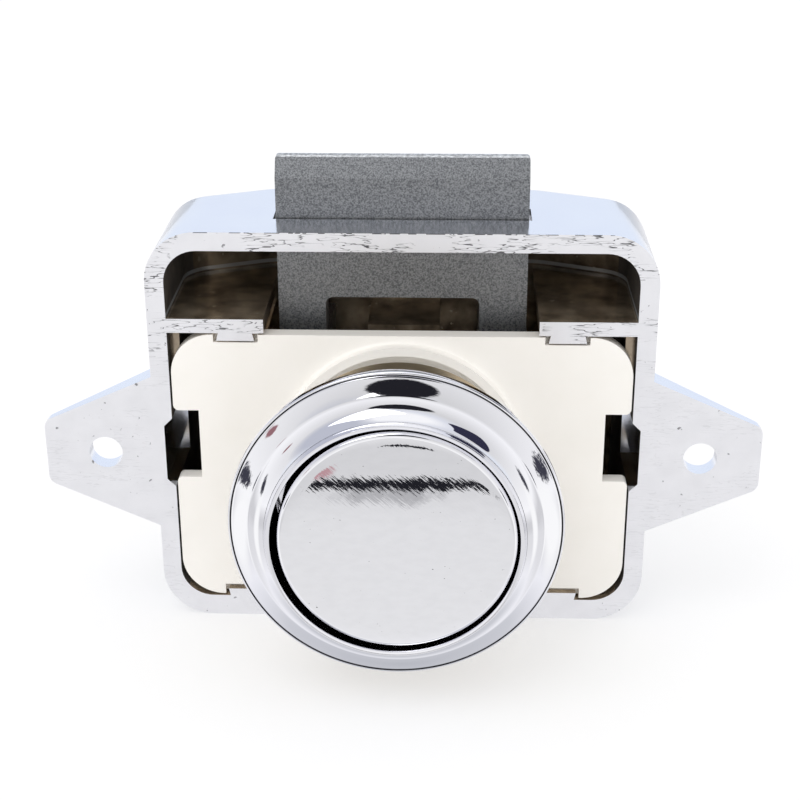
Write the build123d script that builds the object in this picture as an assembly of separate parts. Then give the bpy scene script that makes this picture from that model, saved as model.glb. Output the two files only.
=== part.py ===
from build123d import *
import math
import os

os.makedirs("parts", exist_ok=True)

# Push button cabinet lock for a board door, at rest with the button pressed in and the bolt out.
# Millimetres. X runs across the door, Y into the cabinet and Z up.
# The origin is the centre of the two screw holes, on the face of the case that meets the door.
# The button's axis is the Y axis, so depths along it are negative in front of the case.

# Travels
button_travel = 8.0
bolt_travel = 7.0
overtravel = 0.8

# Clearances
slide_gap = 0.3
running_gap = 0.06
seat_gap = 0.02
cut_overrun = 1.0

# Door and screws
screw_spacing = 64.0
screw_hole_r = 1.8
door_thickness = 16.0

# Case
case_half_w = 26.6
case_top = 24.9
case_drop = 20.0
case_depth = 20.6
case_wall = 2.0
case_floor_wall = 2.4
case_back_wall = 1.6
case_corner_r = 5.5
back_flat_half_w = 15.0
back_side_depth = 15.5
back_corner_r = 6.0
back_ease_r = 8.0
back_edge_r = 4.8
back_inner_edge_r = 3.0

# Ears of the case
ear_tip_x = 38.45
ear_root_half_h = 8.85
ear_tip_half_h = 3.6
ear_tip_r = 1.2
ear_tip_t = 1.1
ear_root_t = 3.0

# Shelf inside the case, over the cover
shelf_bottom = 13.9
shelf_t = 1.55
shelf_inner_x = 14.4

# Pockets in the side walls and lugs that hold the cover
pocket_depth = 0.9
pocket_half_h = 3.15
pocket_reach = 10.0
lug_inner_x = 15.4
lug_w = 4.0
lug_h = 0.85
lug_t = 0.8
lug_slope = 0.4
ledge_w = 1.0
ledge_l = 6.0

# Bolt
bolt_half_w = 13.25
bolt_front = 5.1
bolt_t = 3.7
bolt_projection = 6.55
bolt_window_half_w = 8.2
bolt_window_top = 16.2
bolt_window_r = 0.8
bolt_face_h = 4.3
bolt_chamfer_d = 1.25
bolt_crest_w = 0.65
bolt_bevel_h = 2.6
bolt_tip_r = 0.5
bolt_corner_r = 0.5
cheek_front = 2.6
cheek_top = 10.6
cheek_bottom = -6.0
rail_t = 1.5
rail_front = 5.5

# Cover with its collar and neck
cover_t = 1.7
cover_recess = 0.1
cover_gap = 0.2
cover_corner_r = 4.5
window_depth = 2.7
window_top = 5.0
window_bottom = -2.9
window_corner_r = 0.6
notch_gap = 0.35
notch_depth = 0.95
collar_r = 12.9
collar_bore_r = 12.0
collar_h = 1.3
collar_fillet = 0.35
collar_groove = 1.0
neck_r = 10.5
neck_wall = 0.9
neck_reach = 16.9
pad_w = 2.4
pad_inner_x = 10.3

# Rosette
rosette_r = 16.58
rosette_rim_t = 0.8
rosette_sleeve_r = 12.9
rosette_sleeve_l = 10.8
rosette_bore_r = 12.12
rosette_h = 4.1
rosette_lip_w = 0.4
rosette_band_w = 2.1
rosette_band_h = 0.95
rosette_cove_sag = 0.45
rosette_hollow = 0.6
rosette_hollow_margin = 0.8
thread_ring_l = 3.5

# Knob
knob_r = 11.6
knob_wall = 0.7
knob_face = 20.0
knob_face_t = 1.0
knob_crown = 0.15
knob_edge_r = 0.9
knob_skirt_rear = 9.3
core_disc_t = 1.3
core_stem_r = 9.0
core_rear = 4.6
core_hub_r = 5.8
core_rim_t = 1.0
core_rib_t = 1.2
core_web_t = 1.6
core_rib_count = 4

# Plunger
plunger_r = 9.54
plunger_front = 4.0
plunger_flange_rear = 1.5
plunger_half_w = 7.85
plunger_half_h = 5.0
plunger_rear_gap = 0.7
plunger_bore_r = 3.4
plunger_bore_end = 1.5
track_depth = 1.0
track_w = 1.3
track_half_w = 1.9
track_bend = 2.9

# Drive pins, insert, stud and nut
pin_r = 1.1
pin_to_back = 5.4
pin_inner_x = 3.9
pin_outer_x = 12.6
pin_chamfer = 0.25
slot_gap = 0.1
insert_r = 3.0
insert_flange_r = 3.4
insert_flange_t = 0.6
insert_l = 4.1
stud_r = 2.0
stud_reach = 18.7
stud_chamfer = 0.5
nut_flats = 7.0
nut_t = 2.2

# Cam wire and its boss
wire_r = 0.45
wire_bend_r = 0.9
wire_lift = 0.4
wire_tip_y = 3.6
wire_to_back = 3.5
wire_root_top = 10.2
wire_tip_gap = 0.3
boss_half_w = 3.95
boss_gap = 0.5
boss_bottom = 6.6
boss_top = 11.5

# Springs
button_spring_r = 2.7
button_spring_wire_r = 0.35
button_spring_turns = 8
button_spigot_r = 2.1
button_spigot_l = 3.0
bolt_spring_r = 1.75
bolt_spring_wire_r = 0.25
bolt_spring_turns = 9
bolt_spring_y = 7.2
bolt_spigot_r = 1.2
bolt_spigot_l = 2.0
bolt_pocket_r = 2.35
bolt_pocket_top = 1.2

# Places that several pieces share
inner_half_w = case_half_w - case_wall
inner_top = case_top - case_wall
inner_floor = case_floor_wall - case_drop
inner_back = case_depth - case_back_wall
bolt_back = bolt_front + bolt_t
bolt_tip = case_top + bolt_projection
cheek_back = inner_back - slide_gap
cheek_mid_x = (bolt_window_half_w + bolt_half_w) / 2
boss_front = bolt_back + boss_gap
plunger_rear = inner_back - overtravel - plunger_rear_gap
pin_rest_y = inner_back - pin_to_back
wire_root_y = inner_back - wire_to_back
pin_out_y = pin_rest_y - button_travel
cover_back = cover_recess + cover_t
neck_bore_r = neck_r - neck_wall
flange_back = -door_thickness
shank_z = plunger_half_h + wire_lift + wire_r


def block(x0, x1, y0, y1, z0, z1):
    """Box between two corners."""
    return Pos((x0 + x1) / 2, (y0 + y1) / 2, (z0 + z1) / 2) * Box(x1 - x0, y1 - y0, z1 - z0)


def prism_y(face, y0, y1):
    """Extrude a face of the XZ plane between two depths."""
    return extrude(Pos(0, y0, 0) * face, amount=y1 - y0, dir=(0, 1, 0))


def rod_y(radius, y0, y1, x=0, z=0):
    """Round bar along Y."""
    return prism_y(Plane.XZ * Pos(x, z) * Circle(radius), y0, y1)


def rod_x(radius, x0, x1, y, z):
    """Round bar along X."""
    return extrude(Pos(x0, 0, 0) * (Plane.YZ * Pos(y, z) * Circle(radius)), amount=x1 - x0, dir=(1, 0, 0))


def rod_z(radius, z0, z1, x, y):
    """Round bar along Z."""
    return extrude(Pos(x, y, z0) * Circle(radius), amount=z1 - z0, dir=(0, 0, 1))


def both_sides(shape):
    """A shape and its mirror image across the YZ plane."""
    return shape + mirror(shape, about=Plane.YZ)


def tray_block(inset, front, floor_inset, back_inset, edge_r):
    """Block with the case's rounded outline and crowned back, drawn in by its walls."""
    half_w = case_half_w - inset
    top = case_top - inset
    bottom = floor_inset - case_drop
    depth = case_depth - back_inset
    outline = RectangleRounded(2 * half_w, top - bottom, case_corner_r - inset)
    body = prism_y(Plane.XZ * Pos(0, (top + bottom) / 2) * outline, front, case_depth)
    slope = (case_depth - back_side_depth) / (case_half_w - back_flat_half_w)
    side_depth = back_side_depth + slope * inset - back_inset
    plan = make_face(
        Polyline(
            (-half_w, front),
            (-half_w, side_depth),
            (-back_flat_half_w, depth),
            (back_flat_half_w, depth),
            (half_w, side_depth),
            (half_w, front),
            close=True,
        )
    )
    plan = fillet(plan.vertices().group_by(Axis.Y)[1], back_corner_r - inset)
    plan = fillet(plan.vertices().group_by(Axis.Y)[-1], back_ease_r)
    column = extrude(Pos(0, 0, bottom) * plan, amount=top - bottom, dir=(0, 0, 1))
    levels = column.faces().sort_by(Axis.Z)
    rims = levels[0].edges() + levels[-1].edges()
    rims = rims.filter_by(lambda e: e.center().Y > front + seat_gap)
    return body & fillet(rims, edge_r)


def ear():
    """Right ear: a wedge plate, thick at its root, with one screw hole."""
    root_x = case_half_w - case_wall / 2
    outline = make_face(
        Polyline(
            (root_x, -ear_root_half_h),
            (case_half_w, -ear_root_half_h),
            (ear_tip_x, -ear_tip_half_h),
            (ear_tip_x, ear_tip_half_h),
            (case_half_w, ear_root_half_h),
            (root_x, ear_root_half_h),
            close=True,
        )
    )
    outline = fillet(outline.vertices().group_by(Axis.X)[-1], ear_tip_r)
    plate = prism_y(Plane.XZ * outline, 0, ear_root_t)
    wedge = make_face(
        Polyline(
            (root_x, 0),
            (ear_tip_x, 0),
            (ear_tip_x, ear_tip_t),
            (case_half_w, ear_root_t),
            (root_x, ear_root_t),
            close=True,
        )
    )
    column = extrude(Pos(0, 0, -ear_root_half_h) * wedge, amount=2 * ear_root_half_h, dir=(0, 0, 1))
    return (plate & column) - rod_y(screw_hole_r, -cut_overrun, ear_root_t, x=screw_spacing / 2)


def lug(z_root, z_free):
    """Right lug: a low wedge that stands off a wall and overlaps the cover."""
    slope = lug_slope
    outline = make_face(
        Polyline(
            (lug_inner_x + slope, z_root),
            (lug_inner_x, z_free),
            (lug_inner_x + lug_w, z_free),
            (lug_inner_x + lug_w - slope, z_root),
            close=True,
        )
    )
    return prism_y(Plane.XZ * outline, 0, lug_t)


def side_pocket():
    """Shallow pocket in the right side wall, with sloping ends."""
    outer_x = inner_half_w + pocket_depth
    outline = make_face(
        Polyline(
            (inner_half_w - cut_overrun, -pocket_half_h - pocket_depth - cut_overrun),
            (outer_x, -pocket_half_h),
            (outer_x, pocket_half_h),
            (inner_half_w - cut_overrun, pocket_half_h + pocket_depth + cut_overrun),
            close=True,
        )
    )
    return prism_y(Plane.XZ * outline, -cut_overrun, pocket_reach)


def case_inner_features():
    """Shelf, bolt rails, cover ledges, wire boss and spring spigots, before they are trimmed."""
    wall_x = inner_half_w + case_wall / 2
    deep = inner_back + case_back_wall / 2
    shelf = block(shelf_inner_x, wall_x, 0, deep, shelf_bottom, shelf_bottom + shelf_t)
    rail_x = bolt_half_w + slide_gap
    rail_top = cheek_top + slide_gap
    rail = block(rail_x, rail_x + rail_t, rail_front, deep, inner_floor - case_wall / 2, rail_top)
    ledge_x = inner_half_w - ledge_w
    lower = inner_floor - case_wall / 2
    ledge_low = block(ledge_x, wall_x, cover_back, deep, lower, inner_floor + ledge_l)
    ledge_high = block(ledge_x, wall_x, cover_back, deep, shelf_bottom - ledge_l, shelf_bottom + shelf_t / 2)
    lugs = lug(shelf_bottom + shelf_t / 2, shelf_bottom - lug_h) + lug(lower, inner_floor + lug_h)
    peg = rod_z(bolt_spigot_r, lower, inner_floor + bolt_spigot_l, cheek_mid_x, bolt_spring_y)
    boss = block(-boss_half_w, boss_half_w, boss_front, deep, boss_bottom, boss_top)
    boss -= rod_z(wire_r + seat_gap, boss_bottom - cut_overrun, wire_root_top + seat_gap, 0, wire_root_y)
    spigot = rod_y(button_spigot_r, inner_back - button_spigot_l, deep)
    return both_sides(shelf + rail + ledge_low + ledge_high + lugs + peg) + boss + spigot


def make_case():
    """Die-cast tray with two ears, a slot in its top wall and everything cast inside it."""
    outer = tray_block(0, 0, 0, 0, back_edge_r)
    cavity = tray_block(case_wall, -cut_overrun, case_floor_wall, case_back_wall, back_inner_edge_r)
    shell = outer - cavity
    shell += case_inner_features() & outer
    slot_half_w = bolt_half_w + slide_gap
    shell -= block(
        -slot_half_w,
        slot_half_w,
        bolt_front - slide_gap,
        bolt_back + slide_gap,
        inner_top - cut_overrun,
        case_top + cut_overrun,
    )
    shell -= both_sides(side_pocket())
    return shell + both_sides(ear())


def make_cover():
    """Moulded cover: plate, collar for the door hole and the neck that carries the rosette."""
    half_w = inner_half_w - cover_gap
    top = shelf_bottom - cover_gap
    bottom = inner_floor + cover_gap
    sheet = Pos(0, (top + bottom) / 2) * RectangleRounded(2 * half_w, top - bottom, cover_corner_r)
    notch = Pos(half_w, (window_top + window_bottom) / 2)
    notch *= Rectangle(2 * window_depth, window_top - window_bottom)
    sheet -= notch
    sheet -= mirror(notch, about=Plane.YZ)
    corners = [
        v
        for v in sheet.vertices()
        if abs(abs(v.X) - half_w) < seat_gap and window_bottom - seat_gap < v.Y < window_top + seat_gap
    ]
    sheet = fillet(corners, window_corner_r)
    plate = prism_y(Plane.XZ * sheet, cover_recess, cover_back)
    recess = block(
        lug_inner_x - notch_gap,
        lug_inner_x + lug_w + notch_gap,
        -cut_overrun,
        cover_recess + notch_depth,
        top - lug_h,
        top + cut_overrun,
    )
    foot_recess = block(
        lug_inner_x - notch_gap,
        lug_inner_x + lug_w + notch_gap,
        -cut_overrun,
        cover_recess + notch_depth,
        bottom - cut_overrun,
        bottom + lug_h + notch_gap,
    )
    plate -= both_sides(recess + foot_recess)
    plate += rod_y(collar_r, -collar_h, cover_back)
    root = plate.edges().filter_by(GeomType.CIRCLE)
    root = root.filter_by(lambda e: abs(e.radius - collar_r) < seat_gap)
    root = root.filter_by(lambda e: abs(e.center().Y - cover_recess) < seat_gap)
    plate = fillet(root, collar_fillet)
    plate -= rod_y(collar_bore_r, -collar_h - cut_overrun, collar_groove)
    plate += rod_y(neck_r, -neck_reach, cover_back)
    pad_back = cheek_front - slide_gap
    pad = block(pad_inner_x, pad_inner_x + pad_w, cover_recess, pad_back, cheek_bottom, cheek_top)
    plate += both_sides(pad)
    return plate - rod_y(neck_bore_r, -neck_reach - cut_overrun, cover_back + cut_overrun)


def cheek_slot():
    """Slanted slot that turns the plunger's travel into the bolt's, level over the overtravel."""
    run = math.hypot(button_travel, bolt_travel)
    angle = math.degrees(math.atan2(bolt_travel, -button_travel))
    slot_w = 2 * (pin_r + slot_gap)
    middle = Pos((pin_rest_y + pin_out_y) / 2, bolt_travel / 2)
    slope = Plane.YZ * middle * Rot(0, 0, angle) * SlotCenterToCenter(run, slot_w)
    slot = extrude(slope, amount=bolt_half_w + cut_overrun, dir=(1, 0, 0))
    level = Plane.YZ * Pos(pin_rest_y + overtravel / 2, 0) * SlotCenterToCenter(overtravel, slot_w)
    return slot + extrude(level, amount=bolt_half_w + cut_overrun, dir=(1, 0, 0))


def make_latch_bolt():
    """Forked bolt: a head plate with a sloped tip, and a cheek on each leg with a cam slot."""
    face_top = case_top + bolt_face_h
    crest_y = bolt_front + bolt_chamfer_d
    profile = make_face(
        Polyline(
            (bolt_front, cheek_bottom),
            (bolt_front, face_top),
            (crest_y, bolt_tip),
            (crest_y + bolt_crest_w, bolt_tip),
            (bolt_back, bolt_tip - bolt_bevel_h),
            (bolt_back, cheek_bottom),
            close=True,
        )
    )
    profile = fillet(profile.vertices().group_by(Axis.Y)[-1], bolt_tip_r)
    slab = extrude(Plane.YZ * profile, amount=bolt_half_w, both=True)
    outline = Rectangle(2 * bolt_half_w, bolt_tip - cheek_bottom)
    outline = fillet(outline.vertices().group_by(Axis.Y)[-1], bolt_corner_r)
    slab &= prism_y(Plane.XZ * Pos(0, (bolt_tip + cheek_bottom) / 2) * outline, bolt_front, bolt_back)
    cheek = block(bolt_window_half_w, bolt_half_w, cheek_front, cheek_back, cheek_bottom, cheek_top)
    bolt = slab + both_sides(cheek)
    window_h = bolt_window_top - cheek_bottom
    window = Rectangle(2 * bolt_window_half_w, window_h)
    window = fillet(window.vertices().group_by(Axis.Y)[-1], bolt_window_r)
    bolt -= prism_y(Plane.XZ * Pos(0, cheek_bottom + window_h / 2) * window, 0, case_depth)
    pocket = rod_z(bolt_pocket_r, cheek_bottom - cut_overrun, bolt_pocket_top, cheek_mid_x, bolt_spring_y)
    return bolt - both_sides(cheek_slot() + pocket)


def heart_track():
    """Groove on the plunger's top: a heart-shaped loop, seen from above."""
    start = (0, wire_tip_y + button_travel)
    front_y = wire_tip_y - overtravel
    bend_y = wire_tip_y + track_bend
    loop = [(0, front_y), (track_half_w, front_y), (track_half_w, bend_y), start]
    runs = list(zip(loop, loop[1:]))
    runs += [((-a[0], a[1]), (-b[0], b[1])) for a, b in runs]
    runs.append(((0, front_y), (0, wire_tip_y)))
    groove = Sketch()
    for a, b in runs:
        span = math.hypot(b[0] - a[0], b[1] - a[1])
        turn = math.degrees(math.atan2(b[1] - a[1], b[0] - a[0]))
        middle = Pos((a[0] + b[0]) / 2, (a[1] + b[1]) / 2)
        groove += middle * Rot(0, 0, turn) * SlotCenterToCenter(span, track_w)
    floor_z = plunger_half_h - track_depth
    return extrude(Pos(0, 0, floor_z) * groove, amount=track_depth + cut_overrun, dir=(0, 0, 1))


def make_plunger():
    """Plunger: round guide flange in the neck, square body between the bolt's cheeks."""
    body = rod_y(plunger_r, -plunger_front, plunger_flange_rear)
    body += block(-plunger_half_w, plunger_half_w, 0, plunger_rear, -plunger_half_h, plunger_half_h)
    body -= rod_y(plunger_bore_r, plunger_bore_end, plunger_rear + cut_overrun)
    body -= rod_y(insert_r + seat_gap, -plunger_front - cut_overrun, insert_l - plunger_front + seat_gap)
    body -= rod_y(
        insert_flange_r + seat_gap, -plunger_front - cut_overrun, insert_flange_t - plunger_front + seat_gap
    )
    hole = rod_x(pin_r + seat_gap, 0, plunger_half_w + cut_overrun, pin_rest_y, 0)
    return body - both_sides(hole) - heart_track()


def make_drive_pin(side):
    """Steel pin in one side of the plunger; side is 1 for the right and -1 for the left."""
    pin = rod_x(pin_r, pin_inner_x, pin_outer_x, pin_rest_y, 0)
    pin = chamfer(pin.edges().filter_by(GeomType.CIRCLE), pin_chamfer)
    return pin if side > 0 else mirror(pin, about=Plane.YZ)


def make_plunger_insert():
    """Brass thread insert pressed into the plunger's front."""
    body = rod_y(insert_r, -plunger_front, insert_l - plunger_front)
    body += rod_y(insert_flange_r, -plunger_front, insert_flange_t - plunger_front)
    return body - rod_y(stud_r + running_gap, -plunger_front - cut_overrun, plunger_bore_end + cut_overrun)


def make_adjusting_stud():
    """Stud that sets how far the knob stands from the plunger."""
    stud = rod_y(stud_r, -stud_reach, insert_l - plunger_front)
    return chamfer(stud.edges().filter_by(GeomType.CIRCLE), stud_chamfer)


def make_lock_nut():
    """Hexagon nut that locks the stud against the insert."""
    hexagon = RegularPolygon(nut_flats / 2, 6, major_radius=False)
    nut_front = -plunger_front - seat_gap - nut_t
    nut = prism_y(Plane.XZ * hexagon, nut_front, nut_front + nut_t)
    return nut - rod_y(stud_r + running_gap, nut_front - cut_overrun, cut_overrun)


def make_knob_core():
    """Moulded core inside the knob: disc, hollow ribbed stem and threaded hub."""
    disc_front = -knob_face + knob_face_t + seat_gap
    disc_back = disc_front + core_disc_t
    core = rod_y(knob_r - knob_wall - seat_gap, disc_front, disc_back)
    core += rod_y(core_stem_r, disc_front, -core_rear)
    hollow_front = disc_back + core_web_t
    hollow = rod_y(core_stem_r - core_rim_t, hollow_front, -core_rear + cut_overrun)
    hollow -= rod_y(core_hub_r, hollow_front - cut_overrun, -core_rear + cut_overrun)
    for i in range(core_rib_count):
        rib = block(0, core_stem_r, hollow_front, -core_rear, -core_rib_t / 2, core_rib_t / 2)
        hollow -= Rot(0, 360 * i / core_rib_count, 0) * rib
    core -= hollow
    nut_pocket_r = nut_flats / math.sqrt(3) + slide_gap
    core -= rod_y(nut_pocket_r, -plunger_front - nut_t - slide_gap - cut_overrun, -core_rear + cut_overrun)
    return core - rod_y(stud_r + running_gap, disc_front - cut_overrun, -core_rear + cut_overrun)


def make_knob_cap():
    """Chromed cap of the knob: a crowned face with a soft edge and a straight skirt."""
    inner_r = knob_r - knob_wall
    inner_face = -knob_face + knob_face_t
    edge_r = knob_r - knob_edge_r
    shoulder = knob_edge_r * math.sqrt(0.5)
    outline = ThreePointArc(
        (-edge_r, -knob_face),
        (0, -knob_face - knob_crown),
        (edge_r, -knob_face),
    )
    rim = ThreePointArc(
        (edge_r, -knob_face),
        (edge_r + shoulder, -knob_face + knob_edge_r - shoulder),
        (knob_r, -knob_face + knob_edge_r),
    )
    crown = outline.trim(0.5, 1.0)
    walls = Polyline(
        (knob_r, -knob_face + knob_edge_r),
        (knob_r, -knob_skirt_rear),
        (inner_r, -knob_skirt_rear),
        (inner_r, inner_face),
        (0, inner_face),
        (0, -knob_face - knob_crown),
    )
    return revolve(make_face([crown, rim, walls]), Axis.Y)


def make_rosette():
    """Chromed rosette: trumpet flange, sleeve for the door hole and a ring that grips the neck."""
    sleeve_rear = flange_back + rosette_sleeve_l
    rim_front = flange_back - rosette_rim_t
    lip_front = flange_back - rosette_h
    lip_r = rosette_bore_r + rosette_lip_w
    band_r = rosette_r - rosette_band_w
    band_front = rim_front - rosette_band_h
    cove_mid_r = (band_r + lip_r) / 2 - rosette_cove_sag
    cove_mid_y = (band_front + lip_front) / 2 + rosette_cove_sag
    ring_r = neck_r + running_gap
    hollow_out = rosette_r - rosette_hollow_margin
    hollow_in = rosette_sleeve_r + rosette_hollow_margin
    front = ThreePointArc((band_r, band_front), (cove_mid_r, cove_mid_y), (lip_r, lip_front))
    walls = Polyline(
        (lip_r, lip_front),
        (rosette_bore_r, lip_front),
        (rosette_bore_r, sleeve_rear - thread_ring_l),
        (ring_r, sleeve_rear - thread_ring_l),
        (ring_r, sleeve_rear),
        (rosette_sleeve_r, sleeve_rear),
        (rosette_sleeve_r, flange_back),
        (hollow_in, flange_back),
        (hollow_in, flange_back - rosette_hollow),
        (hollow_out, flange_back - rosette_hollow),
        (hollow_out, flange_back),
        (rosette_r, flange_back),
        (rosette_r, rim_front),
        (band_r, band_front),
    )
    return revolve(make_face([front, walls]), Axis.Y)


def make_cam_wire():
    """Spring wire: rooted in the boss, its tip stands in the plunger's heart track."""
    tip_z = plunger_half_h - track_depth + wire_tip_gap
    path = FilletPolyline(
        (0, wire_root_y, wire_root_top),
        (0, wire_root_y, shank_z),
        (0, wire_tip_y, shank_z),
        (0, wire_tip_y, tip_z),
        radius=wire_bend_r,
    )
    section = Plane(origin=path @ 0, z_dir=path % 0) * Circle(wire_r)
    return sweep(section, path)


def coil_arcs(radius, pitch, turns):
    """Biarcs along a helix about Z, two for each half turn."""
    slope = pitch / math.tau
    length = math.hypot(radius, slope)

    def point(angle):
        return Vector(radius * math.cos(angle), radius * math.sin(angle), slope * angle)

    def tangent(angle):
        return Vector(-radius * math.sin(angle), radius * math.cos(angle), slope) / length

    arcs = []
    for i in range(2 * turns):
        a, b = math.pi * i, math.pi * (i + 1)
        p0, p1, t0, t1 = point(a), point(b), tangent(a), tangent(b)
        chord, both = p1 - p0, t0 + t1
        spread = 2 * (1 - t0.dot(t1))
        root = math.sqrt(chord.dot(both) ** 2 + spread * chord.dot(chord))
        reach = (root - chord.dot(both)) / spread
        joint = (p0 + p1 + (t0 - t1) * reach) / 2
        heading = (p1 - t1 * reach) - (p0 + t0 * reach)
        arcs.append(TangentArc(p0, joint, tangent=t0))
        arcs.append(TangentArc(joint, p1, tangent=heading))
    return arcs


def coil_gap(radius, pitch, turns, wire_r):
    """Least gap between neighbouring turns, measured on points along the coil."""
    steps = 24
    points = []
    for i in range(steps * turns + 1):
        angle = math.tau * i / steps
        points.append((radius * math.cos(angle), radius * math.sin(angle), pitch * i / steps))
    least = min(
        math.dist(points[i], points[j])
        for i in range(len(points))
        for j in range(i + steps // 2, len(points))
    )
    return least - 2 * wire_r


def coil_spring(name, radius, wire_r, turns, length):
    """Open compression spring about Z that stands on the XY plane."""
    pitch = (length - 2 * wire_r) / turns
    print(name, "least gap between turns", round(coil_gap(radius, pitch, turns, wire_r), 2))
    path = Wire(coil_arcs(radius, pitch, turns))
    section = Plane(origin=path @ 0, z_dir=path % 0) * Circle(wire_r)
    return Pos(0, 0, wire_r) * sweep(section, path)


def make_button_spring():
    """Spring between the case's back wall and the bottom of the plunger's bore."""
    length = inner_back - plunger_bore_end - 2 * seat_gap
    spring = coil_spring("button_spring", button_spring_r, button_spring_wire_r, button_spring_turns, length)
    return Pos(0, inner_back - seat_gap, 0) * Rot(90, 0, 0) * spring


def make_bolt_spring(side):
    """Spring under one leg of the bolt; side is 1 for the right and -1 for the left."""
    length = bolt_pocket_top - inner_floor - 2 * seat_gap
    spring = coil_spring("bolt_spring", bolt_spring_r, bolt_spring_wire_r, bolt_spring_turns, length)
    return Pos(side * cheek_mid_x, bolt_spring_y, inner_floor + seat_gap) * spring


parts = {
    "case": make_case(),
    "cover": make_cover(),
    "latch_bolt": make_latch_bolt(),
    "plunger": make_plunger(),
    "drive_pin_left": make_drive_pin(-1),
    "drive_pin_right": make_drive_pin(1),
    "plunger_insert": make_plunger_insert(),
    "adjusting_stud": make_adjusting_stud(),
    "lock_nut": make_lock_nut(),
    "knob_core": make_knob_core(),
    "knob_cap": make_knob_cap(),
    "rosette": make_rosette(),
    "cam_wire": make_cam_wire(),
    "button_spring": make_button_spring(),
    "bolt_spring_left": make_bolt_spring(-1),
    "bolt_spring_right": make_bolt_spring(1),
}

for node, shape in parts.items():
    export_step(shape, f"parts/{node}.step")
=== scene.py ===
"""Looks for a push button cabinet lock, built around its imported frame."""

import logging
import math
from collections.abc import Sequence
from dataclasses import dataclass, field
from enum import Enum
from typing import ClassVar

import bmesh
import bpy
from mathutils import Matrix, Vector


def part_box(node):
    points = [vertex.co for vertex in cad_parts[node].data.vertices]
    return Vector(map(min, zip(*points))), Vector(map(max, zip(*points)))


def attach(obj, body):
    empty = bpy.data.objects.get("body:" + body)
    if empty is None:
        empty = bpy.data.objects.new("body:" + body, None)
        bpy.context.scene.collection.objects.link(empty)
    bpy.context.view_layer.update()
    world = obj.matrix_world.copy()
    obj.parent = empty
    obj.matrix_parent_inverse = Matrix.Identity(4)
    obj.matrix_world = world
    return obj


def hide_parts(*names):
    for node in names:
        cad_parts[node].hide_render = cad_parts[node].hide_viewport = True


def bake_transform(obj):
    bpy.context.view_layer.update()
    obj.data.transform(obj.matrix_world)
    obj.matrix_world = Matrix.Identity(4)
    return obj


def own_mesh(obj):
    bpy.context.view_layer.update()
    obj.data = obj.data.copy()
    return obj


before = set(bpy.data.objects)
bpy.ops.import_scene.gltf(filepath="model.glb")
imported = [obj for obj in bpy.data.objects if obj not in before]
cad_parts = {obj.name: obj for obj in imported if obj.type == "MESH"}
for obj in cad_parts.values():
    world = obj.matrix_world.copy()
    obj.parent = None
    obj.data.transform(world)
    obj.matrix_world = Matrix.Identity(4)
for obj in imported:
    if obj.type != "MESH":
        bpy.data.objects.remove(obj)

LOG = logging.getLogger("cabinet_lock")
MM = 0.001
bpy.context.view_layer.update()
MERGE_DISTANCE = 0.001 * MM
DIAGONAL = math.sqrt(0.5)
Pair = tuple[float, float]
Triple = tuple[float, float, float]
Colour = Triple
Socket = bpy.types.NodeSocket
BLACK: Colour = (0.0, 0.0, 0.0)
WHITE: Colour = (1.0, 1.0, 1.0)


class Slot(Enum):
    """Material slots."""

    CASE = "case_metal"
    PLASTIC = "cream_plastic"
    BOLT = "bolt_metal"
    STEEL = "steel"
    SPRING = "spring_steel"
    BRASS = "brass"
    CHROME = "chrome_plate"


class Side(Enum):
    """Which surface of the case a face belongs to; the value is its material index."""

    RIM = 0
    OUTSIDE = 1
    INSIDE = 2
    WALL = 3


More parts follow.
